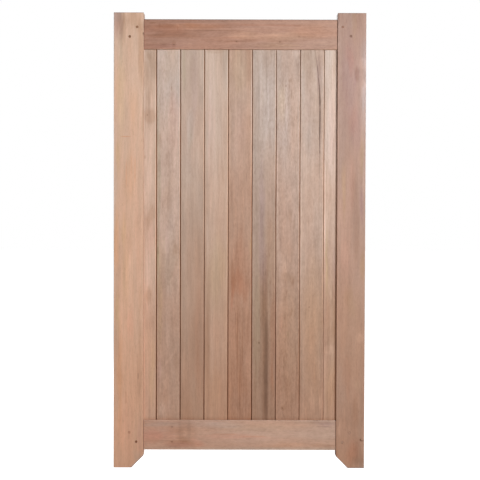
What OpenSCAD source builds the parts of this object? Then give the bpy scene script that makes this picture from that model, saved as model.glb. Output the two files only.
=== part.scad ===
// Boarded timber garden gate leaf.
// Two stiles with horns are joined by a top and a bottom rail. Each joint is a haunched through
// mortise and tenon, locked by two round pegs. Tongued, grooved and V-jointed boards stand in a
// groove that runs round the inside of the frame. All pieces are centred on the leaf's thickness.
// Millimetres. +X runs across the leaf, +Y to its back, +Z up. The origin is the middle of the
// left stile's outer edge, where the leaf hangs.

/* [Leaf] */
// Width of the whole leaf, across both stiles
leaf_w = 995; // [600:1:1400]
// Height of the whole leaf, which is the length of a stile
leaf_h = 1800; // [900:1:2200]

/* [Stiles] */
// Width of the left stile, which carries the hinges
left_stile_w = 118; // [90:1:160]
// Width of the right stile, which closes
right_stile_w = 112.5; // [90:0.5:160]
// Thickness of both stiles, front to back
stile_t = 45; // [40:1:75]
// Length of the horn that stands above the top rail
top_horn = 25; // [10:1:150]
// Length of the foot that reaches below the bottom rail
foot_l = 70; // [55:1:150]
// Leg of the 45 degree cut on the inner corner of each foot
foot_cut = 47.5; // [10:0.5:52]

/* [Rails] */
// Height of a rail, seen from the front
rail_h = 118; // [90:1:180]
// Thickness of a rail, front to back
rail_t = 32; // [28:1:38]

/* [Joints] */
// Thickness of a tenon
tenon_t = 15; // [10:1:20]
// Step between a rail's outer edge and its tenon
tenon_step = 14; // [8:1:20]
// Step between a rail's outer edge and the haunch beside its tenon
haunch_step = 3; // [2:1:6]
// Length of the haunch, which keeps the rail's outer edge from twisting
haunch_l = 12; // [8:1:20]
// Gap between a tenon and its mortise, on each side
tenon_fit = 0.15; // [0.1:0.05:0.4]

/* [Pegs] */
// Diameter of a peg
peg_d = 10; // [6:1:14]
// From the shoulder to the first peg: top left, top right, bottom left, bottom right
first_peg_in = [26, 20, 28, 25]; // [15:1:30]
// From the shoulder to the second peg: top left, top right, bottom left, bottom right
second_peg_in = [55, 52, 56, 54]; // [45:1:70]
// From a rail's outer edge to the first peg: top left, top right, bottom left, bottom right
first_peg_up = [32, 30, 33, 33]; // [24:1:35]
// From a rail's outer edge to the second peg: top left, top right, bottom left, bottom right
second_peg_up = [70, 66, 70, 70]; // [55:1:75]
// Gap between a peg and its hole, all round
peg_fit = 0.1; // [0.05:0.05:0.3]
// Depth of each peg end below the stile's face
peg_sunk = 0.6; // [0:0.1:2]
// Bevel round the ends of a peg
peg_bevel = 0.8; // [0.4:0.1:1.5]

/* [Boards] */
// Width that one full board covers, from joint to joint
board_cover = 94.75; // [60:0.25:140]
// Thickness of a board
board_t = 16; // [14:1:20]
// Least width that shows of the two boards ripped to fit beside the stiles
ripped_min = 25; // [15:1:40]
// Opening between the shoulders of two boards
board_gap = 1; // [0.5:0.1:3]
// Leg of the bevel along each edge of a board, on both faces
bevel = 2; // [1:0.5:4]
// Thickness of a tongue
tongue_t = 5; // [3:0.5:6]
// Length of a tongue beyond its shoulder
tongue_l = 7; // [5:0.5:10]
// Gap between a tongue and its groove, on each side and at its tip
tongue_fit = 0.3; // [0.2:0.1:0.6]
// Bevel along the tip of a tongue
tongue_bevel = 1; // [0.5:0.1:1.2]

/* [Frame groove] */
// Depth of the groove round the inside of the frame
groove_d = 12; // [8:1:15]
// Gap between a board's face and the side of the frame groove
groove_fit = 0.25; // [0.1:0.05:0.4]
// Room to swell between a ripped board and the bottom of the stile's groove
swell_gap = 2; // [1:0.5:4]
// Room above the boards in the top rail's groove
head_gap = 2; // [1:0.5:4]

/* [Edges] */
// Radius of the eased edges of stiles and rails
arris_r = 2; // [1:0.5:3]

/* [Hidden] */
$fn = 48;
past = 1; // how far a cutter runs past the face that it opens

foot_z = -leaf_h / 2;
head_z = leaf_h / 2;
bottom_rail_z = foot_z + foot_l;
top_rail_z = head_z - top_horn - rail_h;

// The opening between the stiles and between the rails.
sight_x = left_stile_w;
sight_w = leaf_w - left_stile_w - right_stile_w;
sight_z = bottom_rail_z + rail_h;
sight_h = top_rail_z - sight_z;

tenon_h = rail_h - tenon_step - groove_d;
groove_w = board_t + 2 * groove_fit;

// Full boards fill the opening's width, and one ripped board closes each side.
full_boards = floor((sight_w - 2 * ripped_min) / board_cover);
ripped_w = (sight_w - full_boards * board_cover) / 2;
board_count = full_boards + 2;
board_l = sight_h + 2 * groove_d - head_gap;

CORNERS = ["top_left", "top_right", "bottom_left", "bottom_right"];

// A rectangle with rounded corners, from its lowest corner.
module eased_rectangle(corner, size, r) {
    translate(corner) {
        translate([r, 0]) square([size.x - 2 * r, size.y]);
        translate([0, r]) square([size.x, size.y - 2 * r]);
        for (x = [r, size.x - r], y = [r, size.y - r])
            translate([x, y]) circle(r);
    }
}

// The right side is the left side seen in a mirror.
module on_right() {
    translate([leaf_w, 0, 0]) mirror([1, 0, 0]) children();
}

// The top rail and its joints are the bottom ones turned over.
module turned_over() {
    translate([0, 0, top_rail_z + rail_h]) mirror([0, 0, 1]) translate([0, 0, -bottom_rail_z]) children();
}

// ---- stiles, drawn as the left one with width w ----

// Section, face outline and edge outline meet in one bar with every long edge and end eased.
module stile_bar(w) {
    intersection() {
        translate([0, 0, foot_z])
            linear_extrude(leaf_h)
                eased_rectangle([0, -stile_t / 2], [w, stile_t], arris_r);
        rotate([90, 0, 0])
            linear_extrude(stile_t + 2 * past, center = true)
                difference() {
                    eased_rectangle([0, foot_z], [w, leaf_h], arris_r);
                    foot_corner(w);
                }
        rotate([90, 0, 90])
            linear_extrude(w)
                eased_rectangle([-stile_t / 2, foot_z], [stile_t, leaf_h], arris_r);
    }
}

module foot_corner(w) {
    polygon([
        [w - foot_cut - past, foot_z - past],
        [w + past, foot_z - past],
        [w + past, foot_z + foot_cut + past]
    ]);
}

// A through mortise for the bottom rail's tenon, with the shallow socket of its haunch.
module lower_mortise(w) {
    slot_w = tenon_t + 2 * tenon_fit;
    translate([-past, -slot_w / 2, bottom_rail_z + tenon_step - tenon_fit])
        cube([w + 2 * past, slot_w, tenon_h + 2 * tenon_fit]);
    translate([w - haunch_l - tenon_fit, -slot_w / 2, bottom_rail_z + haunch_step - tenon_fit])
        cube([haunch_l + tenon_fit + past, slot_w, tenon_step - haunch_step]);
}

// The groove for the boards runs from one mortise to the other.
module stile_groove(w) {
    translate([w - groove_d, -groove_w / 2, sight_z - groove_d])
        cube([groove_d + past, groove_w, sight_h + 2 * groove_d]);
}

module stile(w) {
    difference() {
        stile_bar(w);
        lower_mortise(w);
        turned_over() lower_mortise(w);
        stile_groove(w);
    }
}

module left_stile() {
    color("#cba78a")
        difference() {
            stile(left_stile_w);
            peg_holes();
        }
}

module right_stile() {
    color("#b8967f")
        difference() {
            on_right() stile(right_stile_w);
            peg_holes();
        }
}

// ---- rails, drawn as the bottom one ----

// A tenon right through a stile of width w, with its haunch at the rail's outer edge.
module lower_tenon(w) {
    translate([0, -tenon_t / 2, bottom_rail_z + tenon_step])
        cube([w + past, tenon_t, tenon_h]);
    translate([w - haunch_l, -tenon_t / 2, bottom_rail_z + haunch_step])
        cube([haunch_l + past, tenon_t, tenon_step - haunch_step + past]);
}

module lower_rail() {
    difference() {
        union() {
            translate([sight_x, 0, 0])
                rotate([90, 0, 90])
                    linear_extrude(sight_w)
                        eased_rectangle([-rail_t / 2, bottom_rail_z], [rail_t, rail_h], arris_r);
            lower_tenon(left_stile_w);
            on_right() lower_tenon(right_stile_w);
        }
        translate([sight_x - past, -groove_w / 2, sight_z - groove_d])
            cube([sight_w + 2 * past, groove_w, groove_d + past]);
    }
}

module bottom_rail() {
    color("#b58f78")
        difference() {
            lower_rail();
            peg_holes();
        }
}

module top_rail() {
    color("#b07d66")
        difference() {
            turned_over() lower_rail();
            peg_holes();
        }
}

// ---- boards ----

// Place across the leaf of joint j. Joint 0 and the last one are the inner edges of the stiles.
function joint_x(j) =
    j == 0 ? sight_x :
    j == board_count ? sight_x + sight_w :
    sight_x + ripped_w + (j - 1) * board_cover;

// Edges of a board in plan, each from the front face to the back face.
// A plain edge stands in a stile's groove.
function plain_edge(x) = [[x, -board_t / 2], [x, board_t / 2]];

// A tongued edge has its shoulder at x, and its tongue points towards +X.
function tongued_edge(x) = [
    [x - bevel, -board_t / 2],
    [x, -board_t / 2 + bevel],
    [x, -tongue_t / 2],
    [x + tongue_l - tongue_bevel, -tongue_t / 2],
    [x + tongue_l, -tongue_t / 2 + tongue_bevel],
    [x + tongue_l, tongue_t / 2 - tongue_bevel],
    [x + tongue_l - tongue_bevel, tongue_t / 2],
    [x, tongue_t / 2],
    [x, board_t / 2 - bevel],
    [x - bevel, board_t / 2]
];

// A grooved edge has its shoulder at x, and takes the tongue of the board on its -X side.
function grooved_edge(x) = let (
    half = tongue_t / 2 + tongue_fit,
    bottom = x - board_gap + tongue_l + tongue_fit
) [
    [x + bevel, -board_t / 2],
    [x, -board_t / 2 + bevel],
    [x, -half],
    [bottom, -half],
    [bottom, half],
    [x, half],
    [x, board_t / 2 - bevel],
    [x + bevel, board_t / 2]
];

function reversed(points) = [for (i = [len(points) - 1:-1:0]) points[i]];

// Board i runs from joint i - 1 to joint i, and stands on the bottom of the bottom rail's groove.
module board(i) {
    edge_reach = groove_d - swell_gap;
    left_edge = i == 1
        ? plain_edge(joint_x(0) - edge_reach)
        : grooved_edge(joint_x(i - 1) + board_gap / 2);
    right_edge = i == board_count
        ? plain_edge(joint_x(board_count) + edge_reach)
        : tongued_edge(joint_x(i) - board_gap / 2);
    color(i % 2 == 0 ? "#c4a18d" : "#cdac97")
        translate([0, 0, sight_z - groove_d])
            linear_extrude(board_l)
                polygon(concat(left_edge, reversed(right_edge)));
}

// ---- pegs, numbered outwards from the shoulder ----

// Centre of peg n at corner c of the leaf, on the middle of its thickness.
function peg_at(c, n) = let (
    in = (n == 1 ? first_peg_in : second_peg_in)[c],
    up = (n == 1 ? first_peg_up : second_peg_up)[c],
    is_left = c % 2 == 0,
    is_top = c < 2
) [
    is_left ? sight_x - in : sight_x + sight_w + in,
    0,
    is_top ? top_rail_z + rail_h - up : bottom_rail_z + up
];

// All the holes, bored through stiles and tenons together.
module peg_holes() {
    for (c = [0:3], n = [1, 2])
        translate(peg_at(c, n))
            rotate([90, 0, 0])
                cylinder(r = peg_d / 2 + peg_fit, h = stile_t + 2 * past, center = true);
}

// A peg lies along Y and ends just under both faces of the stile.
module peg(c, n) {
    half_l = stile_t / 2 - peg_sunk;
    r = peg_d / 2;
    color("#7d5a45")
        translate(peg_at(c, n))
            rotate([90, 0, 0])
                rotate_extrude()
                    polygon([
                        [0, -half_l],
                        [r - peg_bevel, -half_l],
                        [r, -half_l + peg_bevel],
                        [r, half_l - peg_bevel],
                        [r - peg_bevel, half_l],
                        [0, half_l]
                    ]);
}

// ---- the nodes ----

left_stile();
right_stile();
top_rail();
bottom_rail();
for (i = [1:board_count])
    board(i);
for (c = [0:3], n = [1, 2])
    peg(c, n);
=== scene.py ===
import math

import bpy
from mathutils import Matrix, Vector


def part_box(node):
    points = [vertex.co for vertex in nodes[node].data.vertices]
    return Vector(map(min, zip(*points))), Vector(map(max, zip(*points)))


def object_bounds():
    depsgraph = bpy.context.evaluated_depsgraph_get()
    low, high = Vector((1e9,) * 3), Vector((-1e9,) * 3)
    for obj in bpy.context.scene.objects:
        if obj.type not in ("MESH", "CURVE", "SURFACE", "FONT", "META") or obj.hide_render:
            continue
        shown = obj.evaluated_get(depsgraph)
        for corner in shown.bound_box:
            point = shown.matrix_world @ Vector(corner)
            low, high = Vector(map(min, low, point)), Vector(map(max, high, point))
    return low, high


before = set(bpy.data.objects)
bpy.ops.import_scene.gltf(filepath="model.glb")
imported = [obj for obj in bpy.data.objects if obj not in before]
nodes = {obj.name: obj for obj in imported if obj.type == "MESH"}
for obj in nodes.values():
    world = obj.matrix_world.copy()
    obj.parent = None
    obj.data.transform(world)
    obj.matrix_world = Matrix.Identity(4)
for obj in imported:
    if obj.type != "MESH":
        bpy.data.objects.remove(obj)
cad_low, cad_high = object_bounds()
centre = (cad_low + cad_high) / 2

scene = bpy.context.scene
scene.view_settings.view_transform = "Standard"


# ---- The studio ----
# The leaf stands on a white floor that runs back to a white horizon. A soft lamp on the right, at
# the height of the top rail, lights the front, and a weak warm lamp fills it. Three more behind the
# leaf's front light its back and its edges.

camera_distance = 3.65
camera_rise = math.radians(0.97)
camera_roll = math.radians(0.17)
view_width = 1.9093
aim = centre + Vector((0.0022, 0, 0.0043))

camera_data = bpy.data.cameras.new("camera")
camera_data.sensor_width = 36.0
camera_data.lens = camera_data.sensor_width * camera_distance / view_width
camera = bpy.data.objects.new("camera", camera_data)
camera.location = aim + camera_distance * Vector((0, -math.cos(camera_rise), math.sin(camera_rise)))
level = (aim - camera.location).to_track_quat("-Z", "Y").to_matrix().to_4x4()
camera.matrix_world = Matrix.Translation(camera.location) @ level @ Matrix.Rotation(camera_roll, 4, "Z")
scene.collection.objects.link(camera)
scene.camera = camera


def soft_lamp(name, place, towards, width, height, watts, colour=(1, 1, 1), spread=180):
    """A soft lamp, with its place and what it points at in metres from the middle of the leaf."""
    lamp_data = bpy.data.lights.new(name, "AREA")
    lamp_data.shape = "RECTANGLE"
    lamp_data.size = width
    lamp_data.size_y = height
    lamp_data.energy = watts
    lamp_data.color = colour
    lamp_data.spread = math.radians(spread)
    lamp = bpy.data.objects.new(name, lamp_data)
    lamp.location = centre + Vector(place)
    lamp.rotation_euler = (Vector(towards) - Vector(place)).to_track_quat("-Z", "Y").to_euler()
    scene.collection.objects.link(lamp)


leaf_middle = (0, 0, 0)
cool_white = (0.96, 1.0, 1.05)
warm_white = (1.08, 1.0, 0.9)
soft_lamp("key", (1.25, -2.4, 1.0), (-1.1, 0, 0.95), width=0.9, height=0.5, watts=82, colour=cool_white)
soft_lamp("fill", (-0.5, -3.2, -0.5), leaf_middle, width=2.4, height=2.0, watts=8.2, colour=warm_white)
soft_lamp("back", (-1.2, 2.4, 1.4), leaf_middle, width=1.6, height=1.4, watts=60)
for name, side in (("left_side", -1), ("right_side", 1)):
    soft_lamp(name, (2.6 * side, 0.9, 0.1), (0.5 * side, 0, 0.1), width=0.8, height=1.6, watts=3, spread=40)


def seen_by_camera(tree):
    """1 for what the camera sees, straight or in a gloss or a glass, and 0 for what lights the leaf."""
    rays = tree.nodes.new("ShaderNodeLightPath")
    straight_or_gloss = tree.nodes.new("ShaderNodeMath")
    straight_or_gloss.operation = "MAXIMUM"
    tree.links.new(rays.outputs["Is Camera Ray"], straight_or_gloss.inputs[0])
    tree.links.new(rays.outputs["Is Glossy Ray"], straight_or_gloss.inputs[1])
    any_view = tree.nodes.new("ShaderNodeMath")
    any_view.operation = "MAXIMUM"
    tree.links.new(straight_or_gloss.outputs[0], any_view.inputs[0])
    tree.links.new(rays.outputs["Is Transmission Ray"], any_view.inputs[1])
    return any_view.outputs[0]


light_from_all_sides = 0.125

world = bpy.data.worlds.new("world")
scene.world = world
world.use_nodes = True
sky = world.node_tree.nodes["Background"]
sky.inputs["Color"].default_value = (1, 1, 1, 1)
sky_strength = world.node_tree.nodes.new("ShaderNodeMapRange")
sky_strength.inputs["To Min"].default_value = light_from_all_sides
sky_strength.inputs["To Max"].default_value = 1.0
world.node_tree.links.new(seen_by_camera(world.node_tree), sky_strength.inputs["Value"])
world.node_tree.links.new(sky_strength.outputs["Result"], sky.inputs["Strength"])

floor_size = 60
floor_grey = 0.6
floor_light = 0.9

bpy.ops.object.select_all(action="DESELECT")
bpy.ops.mesh.primitive_plane_add(size=floor_size, location=(centre.x, centre.y, cad_low.z))
floor = bpy.context.object
floor.name = "floor"
floor_material = bpy.data.materials.new("white_floor")
floor_material.use_nodes = True
floor_tree = floor_material.node_tree
floor_paint = floor_tree.nodes["Principled BSDF"]
floor_paint.inputs["Base Color"].default_value = (floor_grey, floor_grey, floor_grey, 1)
floor_paint.inputs["Roughness"].default_value = 0.9
floor_paint.inputs["Emission Color"].default_value = (1, 1, 1, 1)
floor_glow = floor_tree.nodes.new("ShaderNodeMath")
floor_glow.operation = "MULTIPLY"
floor_glow.inputs[1].default_value = floor_light
floor_tree.links.new(seen_by_camera(floor_tree), floor_glow.inputs[0])
floor_tree.links.new(floor_glow.outputs[0], floor_paint.inputs["Emission Strength"])
floor.data.materials.append(floor_material)


# ---- Left stile ----
# An upright of planed hardwood, the palest and most orange timber in the leaf. It is mortised for
# the rails, grooved for the boards, eased along its edges, cut back at its foot, and left bare.

# What a tint does to the red, green and blue of bare wood. On the boards' bevels some also paint highlights
# and shade.
ORANGE = (1.04, 0.93, 0.80)
TAN = (0.99, 1.00, 0.86)
PINK = (1.06, 0.97, 0.96)
PALE = (1.10, 1.11, 1.12)
GREY = (0.90, 0.97, 1.03)
VIOLET = (0.90, 0.86, 0.97)
GREEN = (0.88, 0.94, 0.86)
RED = (0.97, 0.80, 0.70)
SALMON = (1.02, 0.88, 0.84)
BROWN = (0.80, 0.72, 0.64)
DARK = (0.72, 0.68, 0.66)
SHADE = (0.82, 0.81, 0.80)
HOLE = (0.36, 0.29, 0.25)
# The next tint is dust and painted shade in the boards' V joints.
DUST_AND_SHADE = (0.33, 0.19, 0.09)
COOL = (0.98, 1.04, 1.10)
BRIGHT = (1.20, 1.22, 1.24)


def linear(code):
    """A colour written as six hex digits, as red, green and blue light."""
    parts = [int(code[i:i + 2], 16) / 255 for i in (0, 2, 4)]
    return [p / 12.92 if p <= 0.04045 else ((p + 0.055) / 1.055) ** 2.4 for p in parts]


class Timber:
    """The material of one piece of bare planed hardwood, drawn along that piece's own grain.

    Places and sizes of its marks are in millimetres from the middle of the piece. Along runs up
    an upright piece, and to the right on a lying one. Marks show on the front face only. Head and
    foot are tints at the far and the near end of along.
    """

    def __init__(self, piece, tone, seed, grain="z", head=(1, 1, 1), foot=(1, 1, 1), streaks=1.0, flecks=1.0):
        self.piece = piece
        self.material = bpy.data.materials.new(piece + "_timber")
        self.material.use_nodes = True
        self.tree = self.material.node_tree
        self.shader = self.tree.nodes["Principled BSDF"]
        self.seed = seed
        low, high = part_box(piece)
        self.half = (high - low) / 2
        self.middle = (high + low) / 2
        place = self.make("ShaderNodeTexCoord")["Object"]
        place = self.vector("SUBTRACT", place, self.middle)
        x, y, z = self.make("ShaderNodeSeparateXYZ", {0: place})
        self.x, self.y, self.z = x, y, z
        self.across, self.deep, self.along = {"z": (x, y, z), "x": (z, y, x), "y": (x, z, y)}[grain]
        self.side = {"z": self.half.x, "x": self.half.z, "y": self.half.x}[grain]
        self.reach = {"z": self.half.z, "x": self.half.x, "y": self.half.y}[grain]
        # Marks are on the front face, and end inside the piece.
        self.front = self.ramp(self.y, -0.006, -0.002, 1, 0)
        self.grow(linear(tone), streaks, flecks)
        # The tints from foot to head; on the boards they are painted light, cooler at the head and warmer at
        # the foot.
        height = self.ramp(self.along, -self.reach, self.reach, smooth=False)
        height_tint = self.mix(height, (*foot, 1), (*head, 1))
        self.colour = self.mix(1.0, self.colour, height_tint, "MULTIPLY")

    def make(self, kind, sockets={}, **settings):
        """A new node with these settings, and these values or links in its sockets."""
        made = self.tree.nodes.new(kind)
        for name, value in settings.items():
            setattr(made, name, value)
        for socket, value in sockets.items():
            if isinstance(value, bpy.types.NodeSocket):
                self.tree.links.new(value, made.inputs[socket])
            else:
                made.inputs[socket].default_value = value
        return made.outputs

    def calc(self, operation, a, b=0.0):
        return self.make("ShaderNodeMath", {0: a, 1: b}, operation=operation)[0]

    def vector(self, operation, a, b=(0, 0, 0), c=(0, 0, 0)):
        return self.make("ShaderNodeVectorMath", {0: a, 1: b, 2: c}, operation=operation)[0]

    def ramp(self, value, low, high, to_low=0.0, to_high=1.0, smooth=True):
        """Goes from to_low to to_high as value goes from low to high."""
        sockets = {"Value": value, "From Min": low, "From Max": high, "To Min": to_low, "To Max": to_high}
        kind = "SMOOTHSTEP" if smooth else "LINEAR"
        return self.make("ShaderNodeMapRange", sockets, interpolation_type=kind)[0]

    def mix(self, amount, a, b, blend="MIX"):
        return self.make("ShaderNodeMix", {0: amount, 6: a, 7: b}, data_type="RGBA", blend_type=blend)[2]

    def noise(self, place, across, along, seed, detail=2.0, roughness=0.5):
        """Soft noise round 0, with its number of waves in a metre across and along the grain."""
        place = self.vector("MULTIPLY_ADD", place, (across, across, along), (0, 0, self.seed + seed))
        sockets = {"Vector": place, "Scale": 1.0, "Detail": detail, "Roughness": roughness}
        return self.calc("SUBTRACT", self.make("ShaderNodeTexNoise", sockets)["Fac"], 0.5)

    def grow(self, tone, streaks, flecks):
        """Bare wood: growth rings, bands, clouds, streaks, flecks, fibres and pores, dark and pale."""
        straight = self.make("ShaderNodeCombineXYZ", {0: self.across, 1: self.deep, 2: self.along})[0]
        sway = self.noise(straight, 6, 0.9, seed=1.1, detail=1)
        bow = self.noise(straight, 6, 0.9, seed=2.3, detail=1)
        swayed = self.make("ShaderNodeCombineXYZ", {0: sway, 1: bow})[0]
        bent_by = 0.03
        grain = self.vector("MULTIPLY_ADD", swayed, (bent_by, bent_by, 0), straight)
        self.wander = self.noise(straight, 30, 4, seed=3.9)
        tear = self.noise(grain, 45, 7, seed=4.2)
        torn = self.make("ShaderNodeCombineXYZ", {0: tear, 1: self.wander})[0]
        torn_by = (0.022, 0.16, 0)
        self.crisp_place = self.make("ShaderNodeCombineXYZ", {0: self.across, 1: self.along})[0]
        self.ragged_place = self.vector("MULTIPLY_ADD", torn, torn_by, self.crisp_place)
        # The rings stand round a pith behind the piece, and taper along it.
        taper = 0.012
        pith = self.vector("MULTIPLY_ADD", straight, (0, 0, taper), (0.02, 0.07, 0))
        from_pith = self.vector("MULTIPLY", self.vector("SUBTRACT", grain, pith), (1, 1, taper))
        radius = self.make("ShaderNodeVectorMath", {0: from_pith}, operation="LENGTH")["Value"]
        ring_waves = {"W": radius, "Scale": 150, "Detail": 3}
        rings = self.make("ShaderNodeTexNoise", ring_waves, noise_dimensions="1D")["Fac"]
        rings = self.calc("SUBTRACT", rings, 0.5)
        self.fibre = self.noise(grain, 650, 22, seed=8.5)
        bands = self.noise(grain, 22, 1.1, seed=5.6)
        clouds = self.noise(grain, 15, 5.0, seed=6.4)
        lines = self.noise(grain, 120, 7.0, seed=7.7, roughness=0.6)
        short_flecks = self.noise(grain, 150, 75.0, seed=12.4, detail=1)
        long_flecks = self.noise(grain, 45, 20.0, seed=13.7, detail=1)
        shares = [
            (rings, 0.2 * streaks),
            (self.fibre, 0.25),
            (bands, 0.35 * streaks),
            (clouds, 0.35 * streaks),
            (lines, 0.65 * streaks),
            (short_flecks, 0.4 * flecks),
            (long_flecks, 0.3 * flecks),
        ]
        lightness = 0.5
        for part, share in shares:
            sockets = {0: part, 1: share, 2: lightness}
            lightness = self.make("ShaderNodeMath", sockets, operation="MULTIPLY_ADD")[0]
        ramp = self.make("ShaderNodeValToRGB", {0: lightness})
        darkest, plain, palest = (0.76, 0.72, 0.69), (1, 1, 1), (1.22, 1.24, 1.26)
        stops = self.tree.nodes[-1].color_ramp.elements
        stops[0].position = 0.12
        stops[1].position = 0.88
        stops.new(0.5)
        for stop, change in zip(stops, (darkest, plain, palest)):
            stop.color = (tone[0] * change[0], tone[1] * change[1], tone[2] * change[2], 1)
        warmer, cooler = (1.025, 0.99, 0.96, 1), (0.975, 1.01, 1.03, 1)
        hue = self.ramp(self.noise(grain, 18, 2.6, seed=9.8), -0.2, 0.2)
        self.colour = self.mix(1.0, ramp["Color"], self.mix(hue, warmer, cooler), "MULTIPLY")
        pores = self.ramp(self.noise(grain, 1400, 55, seed=10.6, detail=1), 0.09, 0.2)
        self.tint(pores, (0.66, 0.58, 0.52), 0.5)
        dashes = self.ramp(self.noise(grain, 300, 26, seed=11.3, detail=1), 0.13, 0.24)
        self.tint(dashes, (0.80, 0.73, 0.67), 0.5 * flecks)
        pits = self.calc("MULTIPLY", pores, 0.4)
        self.relief = self.calc("SUBTRACT", self.calc("MULTIPLY", self.fibre, 0.6), pits)

    def tint(self, mask, tint, strength=1.0):
        """Tints the wood fully where mask is 1, and not where it is 0."""
        if strength != 1.0:
            mask = self.calc("MULTIPLY", mask, strength)
        self.colour = self.mix(mask, self.colour, (*tint, 1), "MULTIPLY")

    def patch(self, tint, across, along, width, length, strength=1.0, crisp=False, turn=0):
        """A soft patch of another tint, which leans to the right by turn degrees.

        Unless it is crisp, the grain tears its edge into flames.
        """
        place = self.crisp_place if crisp else self.ragged_place
        place = self.vector("SUBTRACT", place, (across / 1000, along / 1000, 0))
        if turn:
            sockets = {"Vector": place, "Angle": math.radians(turn)}
            place = self.make("ShaderNodeVectorRotate", sockets, rotation_type="Z_AXIS")[0]
        place = self.vector("MULTIPLY", place, (2000 / width, 2000 / length, 0))
        away = self.make("ShaderNodeVectorMath", {0: place}, operation="LENGTH")["Value"]
        full = 0.55 if crisp else 0.3
        mask = self.ramp(away, full, 1.2, strength, 0)
        self.tint(self.calc("MULTIPLY", mask, self.front), tint)

    def streak(self, tint, across, along, width, length, strength=1.0, bend=0.0, broken=False):
        """A line of another tint along the grain, whose far end bends sideways by bend.

        A broken one fades and thickens along its length.
        """
        half_width = width / 2000
        sockets = {0: self.along, 1: 2000 / length, 2: -2 * along / length}
        run = self.make("ShaderNodeMath", sockets, operation="MULTIPLY_ADD")[0]
        wobble = 0.004
        line = self.calc("ADD", self.calc("MULTIPLY", self.wander, wobble), self.across)
        line = self.calc("SUBTRACT", line, across / 1000)
        if bend:
            end = self.calc("POWER", self.calc("MAXIMUM", run, 0.0), 2.0)
            line = self.calc("SUBTRACT", line, self.calc("MULTIPLY", end, bend / 1000))
        side = self.ramp(self.calc("ABSOLUTE", line), half_width / 4, half_width * 1.25, strength, 0)
        mask = self.calc("MULTIPLY", side, self.ramp(self.calc("ABSOLUTE", run), 0.55, 1.0, 1, 0))
        if broken:
            breaks = self.noise(self.crisp_place, 20, 20, seed=14.9)
            mask = self.calc("MULTIPLY", mask, self.ramp(breaks, -0.15, 0.1, 0.45, 1.35))
        self.tint(self.calc("MULTIPLY", mask, self.front), tint)

    def knot(self, across, along, size, strength=1.0):
        """A pin knot or a small hole, with a browner ring of turned grain."""
        self.patch(BROWN, across, along, size * 2.4, size * 3.2, strength * 0.5, crisp=True)
        self.patch(HOLE, across, along, size, size * 1.3, strength, crisp=True)

    def rim(self, axis, side, full, gone):
        """1 from one side of the piece in to full millimetres, and 0 from gone millimetres on."""
        place = getattr(self, axis)
        surface = getattr(self.half, axis)
        if side == 1:
            return self.ramp(place, surface - gone / 1000, surface - full / 1000)
        return self.ramp(place, full / 1000 - surface, gone / 1000 - surface, 1, 0)

    def end_grain(self, mask):
        """Sawn ends are darker than the planed faces."""
        self.tint(mask, (0.70, 0.66, 0.64))

    def sawn_ends(self, full, gone):
        """End grain at both ends, from the end in to full millimetres and gone at gone millimetres."""
        from_middle = self.calc("ABSOLUTE", self.along)
        self.end_grain(self.ramp(from_middle, self.reach - gone / 1000, self.reach - full / 1000))

    def worn_edges(self):
        """Sandpaper has left the eased edges a little paler."""
        full, gone = 0.0004, 0.0022
        near_side = self.ramp(self.calc("ABSOLUTE", self.across), self.side - gone, self.side - full)
        near_face = self.ramp(self.calc("ABSOLUTE", self.y), self.half.y - gone, self.half.y - full)
        self.tint(self.calc("MULTIPLY", near_side, near_face), (1.02, 1.05, 1.07))

    def finish(self):
        """Puts the timber on its piece."""
        self.tree.links.new(self.colour, self.shader.inputs["Base Color"])
        self.tree.links.new(self.ramp(self.fibre, -0.2, 0.2, 0.52, 0.7), self.shader.inputs["Roughness"])
        self.shader.inputs["Specular IOR Level"].default_value = 0.3
        bump = self.make("ShaderNodeBump", {"Strength": 0.7, "Distance": 0.0003, "Height": self.relief})
        self.tree.links.new(bump["Normal"], self.shader.inputs["Normal"])
        nodes[self.piece].data.materials.clear()
        nodes[self.piece].data.materials.append(self.material)


def cut_rim(stile, inner, full, gone):
    """1 from the slanting cut across a stile's foot in to full millimetres, and 0 from gone on."""
    cut_height = 0.0475
    slant = stile.calc("SUBTRACT", stile.calc("MULTIPLY", stile.x, inner), stile.z)
    into_cut = stile.calc("SUBTRACT", stile.side + stile.reach - cut_height, slant)
    return stile.ramp(into_cut, full / 1000, gone / 1000, 1, 0)


left_stile = Timber(
    "left_stile", tone="dab096", seed=11,
    head=(0.92, 0.98, 1.00), foot=(0.97, 0.86, 0.77), streaks=0.75, flecks=0.35,
)
left_stile.patch(VIOLET, -42, 860, 44, 150, 0.8)
left_stile.patch(GREY, -30, 800, 18, 220, 0.5)
left_stile.patch(SHADE, -30, 880, 70, 100, 0.5)
left_stile.patch(BROWN, -30, 820, 40, 130, 0.6)
left_stile.patch(BROWN, -34, 866, 56, 130, 0.7)
left_stile.patch(BROWN, 22, 880, 66, 90, 0.6)
left_stile.patch(BROWN, 48, 770, 26, 420, 0.75)
left_stile.patch(SHADE, 47, 100, 24, 620, 0.3)
left_stile.patch(SHADE, 47, -540, 24, 400, 0.3)
left_stile.streak(BROWN, -18, 880, 8, 60, 0.5)
left_stile.patch(PALE, 5, 690, 34, 170, 0.5)
left_stile.patch(TAN, -30, 590, 42, 440, 0.55)
left_stile.patch(ORANGE, 18, 560, 40, 200, 0.3)
left_stile.patch(RED, -12, 412, 44, 5, 0.9, crisp=True)
left_stile.patch(TAN, -40, 330, 24, 180, 0.7)
left_stile.patch(ORANGE, 4, 270, 60, 220, 0.35)
left_stile.streak(RED, -8, 265, 6, 130, 0.5)
left_stile.streak(RED, 12, 300, 5, 90, 0.4)
left_stile.streak(RED, 26, 280, 6, 120, 0.5)
left_stile.patch(PINK, 38, 0, 34, 560, 0.3)
left_stile.patch(ORANGE, -48, 10, 22, 340, 0.9)
left_stile.patch(TAN, -18, 50, 26, 160, 0.6)
left_stile.patch(TAN, -14, -130, 40, 260, 0.35)
left_stile.patch(PALE, 4, -190, 36, 460, 0.9)
left_stile.patch(PINK, 8, -330, 34, 190, 0.7)
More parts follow.
